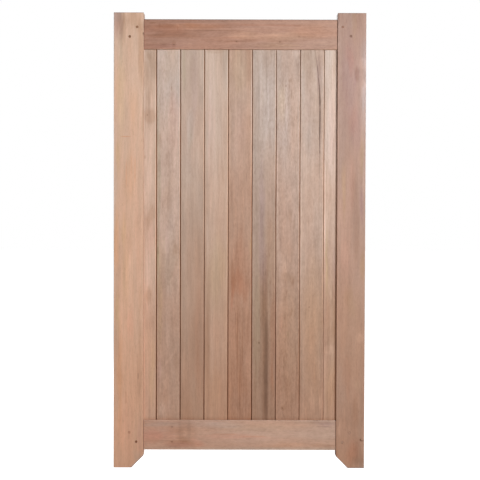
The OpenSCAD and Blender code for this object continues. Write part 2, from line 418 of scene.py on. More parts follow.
left_stile.patch(BROWN, 46, -240, 14, 130, 0.3)
left_stile.patch(ORANGE, -34, -560, 26, 460, 0.7)
left_stile.patch(PINK, -6, -740, 60, 300, 0.5)
left_stile.streak(HOLE, 39, -536, 4, 30, 0.5)
left_stile.streak(BROWN, -10, -620, 5, 60, 0.7)
left_stile.patch(SHADE, -44, -420, 30, 420, 0.5)
left_stile.patch(BROWN, 46, -460, 20, 420, 0.35)
left_stile.patch(VIOLET, 46, -780, 20, 140, 0.4)
left_stile.patch(GREY, 40, -856, 50, 80, 0.9)
left_stile.patch(HOLE, 57, 817, 6, 12, 0.6, crisp=True)
left_stile.patch(BRIGHT, -57, 290, 7, 560, 0.5, crisp=True)
left_stile.patch(SHADE, 57, 460, 9, 300, 0.5, crisp=True)
left_stile.patch(COOL, -54, 300, 14, 500, 0.9)
left_stile.patch(COOL, -46, 885, 30, 50, 0.9, crisp=True)
left_stile.patch(PALE, -10, 591, 40, 120, 0.8)
left_stile.patch(TAN, -41, -290, 24, 160, 0.8)
left_stile.patch(BROWN, -25, -568, 40, 160, 0.3)
left_stile.patch(PALE, -6, -80, 40, 120, 0.6)
left_stile.patch(PALE, -34, 516, 30, 110, 0.6)
left_stile.patch(BROWN, 57, 477, 9, 110, 0.35, crisp=True)
left_stile.end_grain(cut_rim(left_stile, 1, 2.7, 3.7))
left_stile.sawn_ends(1.0, 2.8)
left_stile.worn_edges()
# Painted shade on the inner edge.
left_stile.tint(left_stile.rim("x", 1, 0.5, 2.5), (0.82, 0.80, 0.80))
# A painted reflection of the white surroundings along the outer edge.
left_stile.tint(left_stile.rim("x", -1, 0.8, 4.0), (0.96, 1.09, 1.24))
left_stile.tint(cut_rim(left_stile, 1, 4.5, 8), (0.90, 1.05, 1.24))
left_stile.finish()

# ---- Right stile ----
# The matching upright on the closing side, mortised and grooved in the same way, but of redder and
# more mottled hardwood. A nail has split its right edge low down, and a little filler or glue shows
# where the top rail meets it.

right_stile = Timber(
    "right_stile", tone="ac8b79", seed=23,
    head=(0.92, 0.95, 1.02), foot=(1.12, 1.01, 0.89), streaks=0.6, flecks=0.6,
)
right_stile.patch(BROWN, -5, 880, 150, 440, 0.55)
right_stile.patch(BROWN, 16, 878, 60, 130, 0.45)
# Painted shade on the inner edge of the top horn.
right_stile.patch(DARK, -54, 884, 14, 64, 0.6, crisp=True)
right_stile.patch(SHADE, -14, 520, 70, 520, 0.55)
right_stile.patch(SHADE, 16, 80, 44, 420, 0.6)
right_stile.patch(PALE, -38, 60, 40, 320, 0.8)
right_stile.patch(ORANGE, 0, -370, 160, 460, 0.5)
right_stile.patch(BRIGHT, 53, 640, 16, 220, 0.7)
right_stile.patch(BRIGHT, 53, 470, 12, 160, 0.5)
right_stile.patch(BRIGHT, 50, 230, 18, 200, 0.6)
right_stile.patch(COOL, 50, 610, 24, 420, 0.9)
right_stile.patch(COOL, 46, 748, 30, 120, 0.9, crisp=True)
right_stile.patch(PALE, 46, 748, 28, 100, 0.4, crisp=True)
right_stile.patch(BRIGHT, 43, 702, 34, 52, 0.7, crisp=True)
right_stile.patch(PALE, 43, 618, 34, 46, 0.8, crisp=True)
right_stile.patch(COOL, 45, 566, 28, 110, 1.0, crisp=True)
right_stile.patch(PALE, 45, 566, 26, 110, 0.7, crisp=True)
right_stile.patch(PALE, 47, 506, 22, 40, 0.6, crisp=True)
right_stile.patch(SHADE, 36, -850, 50, 110, 0.7)
right_stile.patch(VIOLET, -8, 620, 80, 440, 0.5)
right_stile.patch(PINK, -8, 715, 44, 100, 0.5)
right_stile.patch(BROWN, 20, 660, 20, 66, 0.8, crisp=True)
right_stile.patch(VIOLET, 22, 650, 26, 90, 0.5)
right_stile.patch(BROWN, 38, 525, 12, 60, 0.45)
right_stile.patch(PALE, 44, 600, 24, 220, 0.9)
right_stile.patch(PALE, 42, 450, 18, 140, 0.6)
right_stile.patch(VIOLET, 18, 430, 50, 160, 0.5)
right_stile.patch(SALMON, 5, 479, 44, 150, 0.5)
right_stile.patch(SALMON, -8, 711, 44, 90, 0.3)
right_stile.patch(TAN, 8, 841, 24, 140, 0.5)
right_stile.patch(TAN, 42, 350, 20, 200, 0.9)
right_stile.patch(TAN, -28, 200, 24, 260, 0.9)
right_stile.patch(PALE, -31, 215, 26, 170, 0.9)
right_stile.patch(BROWN, 14, 210, 30, 220, 0.35)
right_stile.patch(VIOLET, 42, 130, 22, 180, 0.9)
right_stile.patch(PINK, 2, 215, 20, 260, 0.5)
right_stile.patch(BROWN, 22, 10, 28, 280, 0.4)
right_stile.patch(PINK, -24, -60, 44, 220, 0.4)
right_stile.patch(PALE, -28, -49, 34, 130, 0.9)
right_stile.patch(TAN, 0, -240, 60, 120, 0.4)
right_stile.patch(BRIGHT, 35, -382, 30, 46, 0.6, crisp=True)
right_stile.patch(RED, -15, -530, 40, 170, 0.4)
right_stile.patch(BRIGHT, 30, -566, 30, 44, 0.35, crisp=True)
right_stile.patch(GREEN, 26, -569, 34, 76, 0.3)
right_stile.patch(BROWN, 20, -690, 32, 160, 0.5)
right_stile.patch(PALE, -40, -750, 20, 110, 0.9)
right_stile.patch(RED, 10, -850, 70, 100, 0.4)
right_stile.patch(SALMON, 14, -840, 80, 120, 0.4)
right_stile.patch(BRIGHT, -55, 775, 7, 22, 1.0, crisp=True)
right_stile.knot(41, -787, 6, 1.0)
right_stile.patch(HOLE, 48, -791, 15, 3.4, 1.0, crisp=True)
right_stile.patch(SHADE, -35, 723, 40, 140, 0.35)
right_stile.patch(SHADE, -16, 390, 90, 240, 0.45)
right_stile.patch(TAN, 44, -120, 24, 140, 0.8)
right_stile.patch(PALE, 45, -354, 20, 100, 0.8)
right_stile.patch(SHADE, 43, -652, 24, 180, 0.5)
right_stile.patch(SHADE, -5, -684, 50, 160, 0.4)
right_stile.patch(RED, -48, -850, 20, 60, 0.4)
right_stile.patch(SHADE, 54, 650, 12, 60, 0.9, crisp=True)
right_stile.patch(SHADE, 26, -886, 50, 44, 0.8)
right_stile.patch(SHADE, 42, -760, 20, 80, 0.4)
right_stile.patch(PALE, -44, -752, 14, 70, 0.8)
right_stile.end_grain(cut_rim(right_stile, -1, 2.7, 3.7))
right_stile.sawn_ends(1.0, 2.8)
right_stile.worn_edges()
# Painted shade along the inner edge, which faces away from the key lamp.
right_stile.tint(right_stile.rim("x", -1, 0.15, 1.65), (0.56, 0.40, 0.30))
# A painted reflection of the white surroundings along the outer edge, stronger on the lower half.
outer_edge = right_stile.rim("x", 1, 0.25, 3.25)
lower_half = right_stile.ramp(right_stile.z, -0.35, -0.05, 1, 0)
right_stile.tint(outer_edge, (1.00, 1.07, 1.13))
right_stile.tint(right_stile.calc("MULTIPLY", outer_edge, lower_half), (0.98, 1.07, 1.17))
right_stile.tint(right_stile.rim("z", -1, 0.5, 6.5), (0.80, 0.83, 0.89))
right_stile.patch(COOL, 48, -890, 30, 30, 1.0, crisp=True)
right_stile.patch(BRIGHT, 56, -740, 5, 320, 0.8, crisp=True)
# Painted shade on the inner side of both horns, above and below the rails.
inner_side = right_stile.rim("x", -1, 0.75, 3.25)
past_rails = right_stile.calc("ADD", right_stile.rim("z", 1, 27, 30), right_stile.rim("z", -1, 67, 70))
right_stile.tint(right_stile.calc("MULTIPLY", inner_side, past_rails), (0.50, 0.46, 0.42))
right_stile.finish()

# ---- Top rail ----
# A planed hardwood rail, tenoned through both stiles and pegged. It is the reddest and darkest
# timber, more so at its left end, with a thin pale line of straight grain and a few pin knots.


def dark_shoulder(rail):
    """The joint at a rail's left shoulder is dark, but the tenon's end on the stile's edge isn't."""
    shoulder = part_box("left_stile")[1].x - rail.middle.x
    dark = rail.ramp(rail.x, shoulder + 0.0013, shoulder + 0.0019, 1, 0)
    tenon_end = rail.rim("x", -1, 17.5, 27.5)
    rail.tint(rail.calc("SUBTRACT", dark, tenon_end), (0.25, 0.18, 0.14), 0.85)


top_rail = Timber(
    "top_rail", tone="a57e6b", seed=31, grain="x",
    head=(1.0, 1.03, 1.02), foot=(0.92, 0.82, 0.77), streaks=1.15, flecks=1.2,
)
top_rail.patch(SHADE, 52, -190, 18, 440, 0.7)
top_rail.patch(ORANGE, 30, -190, 26, 320, 0.8)
top_rail.patch(SHADE, 30, -210, 26, 260, 0.4)
top_rail.patch(BROWN, -8, -285, 24, 300, 0.75)
top_rail.patch(PALE, 0, 90, 50, 360, 0.9)
top_rail.patch(PALE, -48, -230, 22, 320, 0.7)
top_rail.patch(RED, 16, -300, 60, 190, 0.4)
top_rail.streak(BRIGHT, 21, -60, 5, 440, 0.7)
top_rail.streak(BROWN, 14, -150, 6, 380, 0.6)
top_rail.streak(BROWN, 8, -230, 12, 220, 0.5)
top_rail.streak(BROWN, -14, -60, 9, 200, 0.5)
top_rail.streak(BROWN, -28, 0, 8, 160, 0.45)
top_rail.streak(BROWN, -27, 170, 8, 170, 0.4)
top_rail.streak(RED, 36, 120, 10, 300, 0.4)
top_rail.patch(BROWN, -45, -330, 22, 130, 0.5)
top_rail.patch(VIOLET, -46, -290, 18, 160, 0.4)
top_rail.patch(TAN, -2, 10, 40, 200, 0.4)
top_rail.patch(TAN, -10, 190, 44, 280, 0.4)
top_rail.patch(ORANGE, 16, 300, 70, 180, 0.4)
top_rail.knot(-41, -261, 6, 0.5)
top_rail.knot(-28, -14, 6, 0.5)
top_rail.knot(-29, 157, 6, 0.5)
top_rail.knot(-8, 233, 5, 0.4)
top_rail.patch(BRIGHT, 33, -246, 13, 13, 0.5, crisp=True)
top_rail.patch(BROWN, 25, -246, 20, 6, 0.5, crisp=True)
top_rail.patch(BROWN, -8, -355, 24, 90, 0.5)
top_rail.patch(SHADE, 24, -350, 60, 70, 0.45)
top_rail.patch(BROWN, 36, -284, 26, 90, 0.5)
top_rail.patch(ORANGE, 36, -178, 26, 60, 0.5)
top_rail.patch(TAN, -43, 150, 30, 200, 0.5)
top_rail.patch(RED, 36, -71, 30, 220, 0.35)
top_rail.patch(BROWN, 2, -262, 18, 110, 0.35, crisp=True)
top_rail.patch(BRIGHT, -6, -16, 34, 80, 0.6, crisp=True)
top_rail.patch(PALE, -6, 102, 30, 110, 0.9)
top_rail.patch(PALE, -2, 185, 26, 120, 0.6)
top_rail.patch(PALE, -45, -345, 20, 70, 0.8)
top_rail.patch(BROWN, -39, -261, 34, 20, 0.45, crisp=True)
top_rail.patch(BROWN, 44, -344, 8, 30, 0.6, crisp=True)
top_rail.patch(BROWN, 34, -317, 28, 8, 0.4, crisp=True)
top_rail.patch(BROWN, -24, -79, 12, 24, 0.5, crisp=True)
top_rail.streak(BROWN, -23, -126, 5, 80, 0.6)
top_rail.streak(BROWN, -22, 39, 6, 60, 0.6)
top_rail.patch(BRIGHT, -38, -197, 12, 20, 0.35, crisp=True)
top_rail.patch(PALE, -49, 378, 18, 24, 0.8, crisp=True)
top_rail.patch(BROWN, -11, -249, 30, 120, 0.25)
dark_shoulder(top_rail)
top_rail.sawn_ends(0.2, 1.0)
top_rail.tint(top_rail.rim("z", 1, 1.0, 4.5), (0.54, 0.57, 0.62))
# Painted light on the bottom edge, which faces down into shade.
top_rail.tint(top_rail.rim("z", -1, 0.5, 3.5), (1.22, 1.27, 1.26))
top_rail.finish()

# ---- Bottom rail ----
# The rail at the foot of the boards, tenoned and pegged in the same way. It is paler, with a red
# end on the left where the grain rises round two knots.

bottom_rail = Timber(
    "bottom_rail", tone="c8a08a", seed=47, grain="x",
    head=(1.0, 1.03, 1.02), foot=(0.94, 0.88, 0.84), streaks=0.5, flecks=0.9,
)
bottom_rail.patch(COOL, 42, -180, 36, 420, 1.0)
bottom_rail.patch(SHADE, 50, 300, 18, 320, 0.6)
bottom_rail.patch(BROWN, -20, -212, 44, 70, 0.55)
bottom_rail.patch(SHADE, -40, -250, 30, 130, 0.5)
bottom_rail.patch(PALE, -6, 120, 60, 440, 0.6)
bottom_rail.patch(SHADE, -46, 350, 20, 90, 0.4)
bottom_rail.patch(SALMON, 0, -300, 56, 190, 0.7)
bottom_rail.patch(BROWN, 30, -240, 60, 150, 0.35)
bottom_rail.patch(SALMON, -4, -345, 62, 90, 0.7, crisp=True)
bottom_rail.patch(BROWN, 8, -208, 90, 90, 0.45, crisp=True)
bottom_rail.streak(BROWN, -24, -270, 5, 200, 0.6)
bottom_rail.patch(RED, -38, -235, 32, 190, 0.6)
bottom_rail.patch(GREY, 43, -314, 28, 140, 0.7)
bottom_rail.patch(PALE, 36, 20, 44, 400, 0.4)
bottom_rail.patch(GREEN, 30, 40, 40, 380, 0.25)
bottom_rail.patch(PINK, -12, 20, 30, 320, 0.5)
bottom_rail.streak(RED, 4, -59, 5, 120, 0.6)
bottom_rail.streak(RED, -6, 56, 5, 120, 0.5)
bottom_rail.patch(SALMON, -4, -30, 22, 260, 0.5)
bottom_rail.streak(PALE, -24, 60, 5, 240, 0.5)
bottom_rail.patch(ORANGE, -40, 150, 22, 220, 0.4)
bottom_rail.patch(VIOLET, 45, 345, 26, 90, 0.6)
bottom_rail.streak(DARK, 35, 335, 5, 60, 0.5)
bottom_rail.patch(BROWN, -39, 331, 15, 46, 0.5)
bottom_rail.knot(32, -266, 8, 0.4)
bottom_rail.knot(-27, -266, 8, 0.5)
bottom_rail.patch(SHADE, 22, -234, 84, 14, 0.4, crisp=True)
bottom_rail.patch(SHADE, 20, -198, 90, 16, 0.5, crisp=True)
bottom_rail.patch(BRIGHT, 5, -216, 34, 16, 0.4, crisp=True)
bottom_rail.patch(VIOLET, -40, -234, 26, 120, 0.35, crisp=True)
bottom_rail.patch(PINK, -28, -154, 44, 60, 0.9)
bottom_rail.patch(COOL, 40, -43, 34, 200, 0.8)
bottom_rail.patch(COOL, 0, -330, 60, 130, 0.7)
bottom_rail.patch(BROWN, -39, 312, 18, 60, 0.5, crisp=True)
bottom_rail.patch(BRIGHT, 22, 158, 6, 34, 0.35, crisp=True)
bottom_rail.patch(PALE, -48, -123, 16, 80, 0.9)
bottom_rail.patch(SHADE, -48, -294, 14, 100, 0.4)
bottom_rail.patch(SHADE, 56, 364, 12, 40, 0.5, crisp=True)
bottom_rail.patch(PALE, -46, 207, 22, 90, 0.8)
dark_shoulder(bottom_rail)
bottom_rail.sawn_ends(0.2, 1.0)
# A painted highlight along the top edge.
bottom_rail.tint(bottom_rail.rim("z", 1, 1.5, 4.5), (1.03, 1.12, 1.18))
bottom_rail.tint(bottom_rail.rim("z", -1, 5, 14), (0.98, 1.06, 1.09))
bottom_rail.finish()

# ---- Boards ----
# Nine hardwood boards, tongued into each other with V joints between, and let into a groove round
# the frame. Each is from another plank. Painted light makes them greyer towards the head and
# browner towards the foot. Dust and painted shade darken the V joints, painted highlights run
# beside them, and painted shade darkens the foot of each board above the bottom rail.

tongue_mm = 7
groove_mm = 12


class Board(Timber):
    """A board, with dust and painted shade in its V joints, painted highlights beside them, and painted shade
    over its foot.
    """

    # The head and foot tints are painted light: cooler, paler light at the head and warmer light at the foot.
    def __init__(self, number, tone, seed, streaks, flecks, head=(1.01, 1.14, 1.23), foot=(0.99, 0.84, 0.73)):
        super().__init__(f"board_{number}", tone, seed, "z", head, foot, streaks, flecks)

    def dust_and_shade(self, foot, middle, head):
        """How much dust and painted shade a joint gets at its foot, above its middle and at its head."""
        up_to_middle = self.ramp(self.z, -0.3, 0.05, foot, middle)
        more_at_head = self.ramp(self.z, 0.4, 0.7, 0, head - middle)
        return self.calc("ADD", up_to_middle, more_at_head)

    def finish(self, left=(1, 1, 1), right=(1, 1, 1)):
        """Paints highlights beside its edges, most above their middle, and lays dust and painted shade as
        left and right say.
        """
        highlight_height = 0.25
        from_highlight_height = self.calc("ABSOLUTE", self.calc("SUBTRACT", self.z, highlight_height))
        painted_highlight = self.ramp(from_highlight_height, 0.25, 0.75, 1, 0.1)
        # The pale strips are painted highlights beside the V joints; the dark strips in them are dust and
        # painted shade.
        for strip, amount, tint in (
            (self.rim("x", -1, 2.6, 3.2), painted_highlight, (1.18, 1.17, 1.16)),
            (self.rim("x", -1, 0.5, 1.2), self.dust_and_shade(*left), DUST_AND_SHADE),
            (self.rim("x", 1, tongue_mm + 4.4, tongue_mm + 5.0), painted_highlight, (1.30, 1.30, 1.28)),
            (self.rim("x", 1, tongue_mm + 1.7, tongue_mm + 2.2), self.dust_and_shade(*right), DUST_AND_SHADE),
        ):
            self.tint(self.calc("MULTIPLY", strip, amount), tint)
        # Painted shade over the foot of the board, where the bottom rail stands proud of it.
        self.tint(self.rim("z", -1, groove_mm, groove_mm + 18), (0.90, 0.87, 0.85))
        super().finish()


board = Board(1, "caa690", seed=61, streaks=1.1, flecks=0.4, head=(0.97, 1.08, 1.14), foot=(1.02, 0.90, 0.82))
board.patch(BROWN, -6, 690, 26, 60, 0.5)
board.patch(BROWN, -20, 635, 30, 130, 0.45, crisp=True)
board.patch(BROWN, 0, 620, 60, 180, 0.5)
board.patch(BRIGHT, 9, 536, 22, 84, 0.5)
board.patch(BROWN, 0, 473, 64, 64, 0.6, crisp=True)
board.knot(-10, 477, 4, 0.5)
board.patch(BROWN, -19, 311, 10, 16, 0.5, crisp=True)
board.patch(PALE, 0, 204, 50, 150, 0.9)
board.patch(PALE, 12, -575, 26, 320, 0.5)
board.patch(TAN, 12, -575, 26, 320, 0.5)
board.streak(BROWN, -12, 520, 4, 120, 0.5)
board.patch(PALE, 0, 350, 44, 200, 0.8)
board.patch(BROWN, 4, 85, 44, 90, 0.6)
board.patch(PINK, 6, 0, 34, 160, 0.5)
board.patch(BROWN, -4, -225, 30, 90, 0.6)
board.patch(TAN, 0, -480, 50, 340, 0.2)
board.patch(BROWN, 8, 700, 56, 190, 0.6)
board.patch(PALE, 0, -130, 50, 420, 0.8)
board.patch(SHADE, -19, 105, 12, 120, 0.5)
board.patch(SHADE, -19, -261, 12, 120, 0.5)
board.patch(BRIGHT, 8, 568, 14, 80, 0.4)
# Painted shade in the V joint at the right shoulder.
board.patch(HOLE, 25.6, 600, 2.4, 460, 0.6, crisp=True)
board.finish()

board = Board(2, "bfa08e", seed=73, streaks=0.8, flecks=1.1)
board.patch(ORANGE, 8, 690, 80, 200, 0.4)
board.patch(PALE, 24, 190, 44, 460, 0.9)
board.patch(BROWN, -30, -300, 50, 460, 0.5)
board.patch(BROWN, 20, -420, 80, 380, 0.3)
board.patch(BRIGHT, -24, -690, 44, 80, 0.2)
board.patch(SHADE, 4, -480, 76, 190, 0.35)
board.patch(BRIGHT, 7, -483, 13, 104, 0.45, crisp=True, turn=35)
board.patch(PALE, -34, -690, 14, 90, 0.6, crisp=True, turn=24)
board.patch(PALE, -10, -290, 9, 44, 0.5, crisp=True, turn=40)
board.patch(PALE, 8, -176, 9, 44, 0.5, crisp=True, turn=40)
board.patch(SHADE, 3, -623, 76, 90, 0.35)
board.patch(PINK, 16, 418, 50, 280, 0.5)
board.patch(COOL, -20, -700, 60, 90, 0.9)
board.patch(PINK, 22, 500, 44, 180, 0.5)
board.patch(GREEN, -44, 200, 16, 900, 0.7)
board.patch(BROWN, -36, 350, 26, 80, 0.5)
board.patch(BROWN, -6, 160, 60, 150, 0.35)
board.patch(GREEN, -45, -60, 16, 130, 0.8)
board.streak(DARK, -45, -60, 6, 36, 0.8)
board.patch(BRIGHT, -7, -28, 30, 130, 0.5, crisp=True, turn=11)
board.patch(VIOLET, -8, -40, 24, 150, 0.35)
board.patch(BROWN, 24, -64, 26, 70, 0.5)
board.patch(PINK, 24, -150, 26, 60, 0.5)
board.patch(PALE, 2, -410, 26, 90, 0.4)
board.patch(PALE, -20, -555, 26, 80, 0.4)
board.patch(VIOLET, -41, -560, 16, 180, 0.5)
board.patch(BROWN, 27, -523, 40, 120, 0.35)
board.patch(TAN, -38, -240, 20, 560, 0.6)
board.patch(SHADE, -20, -150, 60, 260, 0.3)
board.patch(BRIGHT, 38, 500, 18, 140, 0.35)
board.patch(BROWN, -1, -268, 24, 80, 0.35)
# The crisp pale strips on the bevels are painted highlights, and the dark ones are painted shade in the V
# joints.
board.patch(BRIGHT, -47, 660, 3.5, 420, 0.9, crisp=True)
board.patch(BRIGHT, 41, -380, 5, 180, 0.7, crisp=True)
board.patch(HOLE, -49.4, 600, 2.4, 460, 0.5, crisp=True)
board.patch(HOLE, 42.4, 650, 2.4, 360, 0.6, crisp=True)
board.patch(TAN, 0, -100, 110, 240, 0.25)
board.finish()

board = Board(3, "b39480", seed=85, streaks=0.85, flecks=0.35)
board.patch(GREEN, -38, 690, 22, 280, 0.5)
board.patch(VIOLET, 5, 600, 44, 320, 0.3)
board.patch(PINK, -2, 450, 110, 420, 0.35)
board.patch(GREEN, -14, 398, 22, 90, 0.3)
board.patch(PALE, -6, 330, 120, 520, 1.0)
board.patch(PALE, 30, 640, 30, 200, 0.9)
board.patch(SHADE, 12, -430, 110, 420, 0.35)
board.patch(GREY, -20, 330, 34, 300, 0.2)
board.patch(BROWN, 26, -60, 50, 220, 0.3)
board.patch(RED, 26, -430, 50, 640, 0.4)
board.streak(BROWN, 10, -640, 4, 80, 0.4)
board.patch(BRIGHT, -29, 133, 30, 120, 0.5)
board.patch(BROWN, 44, -120, 14, 200, 0.35)
board.patch(BROWN, 46, -620, 10, 160, 0.3)
board.patch(COOL, -14, 446, 40, 140, 0.9)
# The crisp pale strips on the bevels are painted highlights, and the dark one is painted shade in the V
# joint.
board.patch(BRIGHT, -47, 670, 3.5, 380, 1.0, crisp=True)
board.patch(BRIGHT, 42, -470, 5, 420, 0.9, crisp=True)
board.patch(HOLE, -49.4, 650, 2.4, 360, 0.5, crisp=True)
board.finish(left=(0.95, 0.95, 1), right=(0.85, 0.74, 0.95))

board = Board(4, "be9d88", seed=97, streaks=0.95, flecks=0.3)
board.patch(PALE, -22, 420, 44, 640, 0.6)
board.patch(PINK, -26, 430, 36, 520, 0.5)
board.patch(BROWN, 24, 240, 16, 110, 0.4)
board.patch(BROWN, 24, 690, 56, 190, 0.4)
board.patch(BROWN, -6, 732, 90, 26, 0.4, crisp=True)
board.patch(COOL, -30, 458, 34, 420, 0.5)
board.patch(PALE, -4, 110, 60, 260, 0.6)
board.patch(BROWN, -38, -420, 30, 660, 0.7)
board.patch(TAN, 0, -120, 90, 320, 0.4)
board.patch(ORANGE, -5, -620, 60, 220, 0.4)
# The crisp pale strip is a painted highlight on the right bevel; the crisp brown and shade strips are painted
# shade in the left V joint.
board.patch(BROWN, -46, -90, 8, 260, 0.5, crisp=True)
board.patch(BRIGHT, 46, 400, 8, 240, 0.5, crisp=True)
board.patch(SHADE, -47, -330, 4, 500, 0.8, crisp=True)
board.patch(BROWN, -46, 250, 5, 500, 0.4, crisp=True)
board.patch(TAN, 0, -200, 110, 320, 0.25)
board.finish(left=(1, 0.68, 0.9), right=(0.88, 0.76, 1))

board = Board(5, "b08972", seed=109, streaks=1.1, flecks=1.0)
board.patch(BROWN, 32, 690, 50, 230, 0.7)
board.patch(BROWN, -4, 735, 80, 80, 0.35)
board.patch(COOL, -16, 340, 80, 440, 0.9)
board.patch(PALE, -20, 360, 60, 400, 0.4)
board.patch(COOL, 28, -560, 50, 400, 1.0)
board.patch(PALE, 34, -500, 26, 180, 0.7)
board.patch(TAN, -10, 660, 70, 180, 0.4)
board.patch(PINK, 0, 430, 70, 220, 0.4)
board.patch(RED, -6, -110, 100, 300, 0.5)
board.patch(RED, -8, -205, 100, 130, 0.6)
board.patch(BROWN, -34, -190, 26, 260, 0.5)
board.patch(COOL, 0, -680, 100, 160, 0.8)
board.streak(BROWN, -14, -420, 6, 260, 0.7)
board.streak(BROWN, 6, -430, 5, 200, 0.6)
board.streak(BROWN, -4, -620, 6, 200, 0.6)
board.streak(BROWN, 22, -640, 5, 200, 0.5)
board.patch(BROWN, 8, -480, 100, 440, 0.25)
board.streak(DARK, -22, -330, 4, 70, 0.6)
board.streak(DARK, -3, -500, 4, 90, 0.6)
board.streak(BROWN, 12, -620, 5, 90, 0.5)
board.patch(PALE, 40, 290, 16, 200, 0.8)
board.patch(PALE, 25, -522, 30, 160, 0.9)
board.patch(PALE, 27, 272, 20, 160, 0.8)
board.patch(PALE, 17, -279, 30, 120, 0.8)
board.patch(RED, -38, -190, 20, 220, 0.4)
board.patch(TAN, 40, -37, 16, 130, 0.8)
board.patch(SHADE, 40, -37, 16, 130, 0.3)
# This crisp pale strip and the crisp pale and cool ones on the bevels below are painted highlights; the crisp
# brown and dark ones are painted shade in the V joints.
board.patch(BRIGHT, 45, 400, 9, 560, 0.65, crisp=True)
board.patch(SALMON, -35, -272, 20, 120, 0.6)
board.patch(BRIGHT, -47, 420, 3.5, 640, 0.8, crisp=True)
board.patch(COOL, 41, 600, 6, 520, 1.0, crisp=True)
board.patch(COOL, 40, 480, 8, 560, 0.9, crisp=True)
board.patch(PALE, 39.5, 540, 6, 560, 0.9, crisp=True)
board.patch(BROWN, -46, -180, 5, 180, 0.4, crisp=True)
board.patch(HOLE, 40.3, 0, 3, 420, 0.2, crisp=True)
board.finish(left=(0.88, 0.76, 1), right=(1, 0.85, 0.75))

board = Board(6, "ae8f7c", seed=121, streaks=0.9, flecks=1.1, foot=(0.88, 0.76, 0.66))
board.patch(GREY, -10, 430, 110, 740, 0.5)
board.patch(VIOLET, -12, 60, 26, 600, 0.7)
board.patch(GREEN, -32, -380, 32, 660, 0.6)
board.patch(RED, 32, -400, 26, 720, 0.6)
board.patch(BRIGHT, 10, 480, 80, 420, 1.0)
board.patch(PALE, 12, 300, 90, 420, 0.6)
board.patch(PALE, -14, 620, 24, 320, 0.9)
board.streak(SHADE, 4, 640, 7, 220, 0.8)
board.streak(SHADE, -26, 520, 6, 300, 0.6)
board.patch(ORANGE, 22, -50, 50, 320, 0.4)
board.patch(BROWN, -12, -480, 26, 420, 0.5)
board.patch(COOL, 24, 500, 70, 460, 0.7)
board.patch(BROWN, -12, -240, 26, 320, 0.6)
board.patch(DARK, 6, -570, 34, 460, 0.6)
board.streak(BROWN, 2, -440, 26, 780, 0.8)
board.streak(HOLE, 6, -520, 18, 560, 0.42)
board.patch(VIOLET, 1, -128, 20, 280, 0.6)
board.streak(DARK, -6, -250, 8, 400, 0.5)
board.knot(-22, -426, 5, 0.7)
board.patch(BRIGHT, -37, 585, 24, 110, 0.5)
# A painted highlight on the left bevel.
board.patch(BRIGHT, -46, 370, 10, 340, 0.4, crisp=True)
board.patch(RED, 34, -580, 10, 200, 0.4)
board.patch(PALE, 38, 400, 16, 360, 0.8)
board.patch(BRIGHT, 42, 230, 14, 340, 0.55)
board.patch(COOL, 10, 520, 90, 420, 0.5)
board.patch(SALMON, 44, -380, 10, 480, 0.6, crisp=True)
# The crisp pale strips on the bevels are painted highlights, and the dark one is painted shade in the V
# joint.
board.patch(BRIGHT, -49, -250, 4, 900, 0.7, crisp=True)
board.patch(PALE, 40, 600, 6, 460, 1.0, crisp=True)
board.patch(HOLE, 40.3, 150, 3, 360, 0.3, crisp=True)
board.patch(TAN, 0, -300, 110, 560, 0.2)
board.finish(left=(0.6, 0.5, 0.8), right=(0.65, 1, 0.6))

board = Board(7, "b49380", seed=133, streaks=0.8, flecks=1.5)
board.patch(SHADE, 34, 690, 30, 200, 1.0)
board.patch(SHADE, -38, 705, 22, 150, 0.5)
board.patch(SHADE, -6, 676, 90, 160, 0.5)
board.patch(COOL, -20, 440, 70, 440, 0.8)
board.patch(PALE, -16, 500, 50, 200, 0.7)
board.patch(BROWN, 0, -420, 120, 560, 0.3)
board.patch(BRIGHT, -28, 535, 34, 130, 0.5)
board.patch(TAN, -30, 535, 38, 150, 0.5)
board.patch(PALE, -32, 535, 22, 130, 0.4)
board.knot(-13, 593, 5, 0.6)
board.patch(BROWN, 6, 600, 26, 20, 0.4)
board.streak(BROWN, 0, 600, 4, 44, 0.5)
board.streak(BROWN, 8, 560, 4, 40, 0.5)
board.patch(BROWN, 8, 90, 12, 70, 0.5)
board.patch(BROWN, 20, 60, 9, 70, 0.5)
board.patch(BRIGHT, -15, -128, 18, 60, 0.75, crisp=True)
board.patch(BROWN, -2, -180, 100, 44, 0.35)
board.patch(BROWN, 15, -190, 28, 70, 0.4)
board.patch(BROWN, 8, -307, 13, 40, 0.7)
board.patch(GREEN, -2, -402, 14, 36, 0.5)
board.patch(PINK, -32, -355, 16, 90, 0.5)
board.patch(BROWN, -20, -686, 22, 26, 0.4, crisp=True)
board.knot(-23, -686, 6, 0.5)
board.patch(BROWN, 9, -60, 40, 110, 0.4)
board.patch(BROWN, 0, -640, 110, 200, 0.35)
board.patch(SHADE, -29, 600, 36, 120, 0.5)
board.patch(BROWN, -44, -170, 14, 200, 0.4)
board.patch(PALE, -43, 160, 12, 140, 0.8)
board.patch(PALE, -30, 420, 30, 160, 0.6)
# The crisp pale and cool strips on the bevels are painted highlights.
board.patch(BRIGHT, -48, 190, 7, 480, 1.0, crisp=True)
board.patch(COOL, 40.5, 620, 6, 320, 1.0, crisp=True)
board.patch(BROWN, 36, -560, 14, 320, 0.3)
board.patch(TAN, 0, -400, 110, 620, 0.3)
# Painted warm shade on the right bevel, in the V joint.
board.patch(ORANGE, 42.4, -480, 4, 520, 0.7, crisp=True)
board.finish(left=(0.65, 0.2, 0.7), right=(0.4, 1, 0.75))

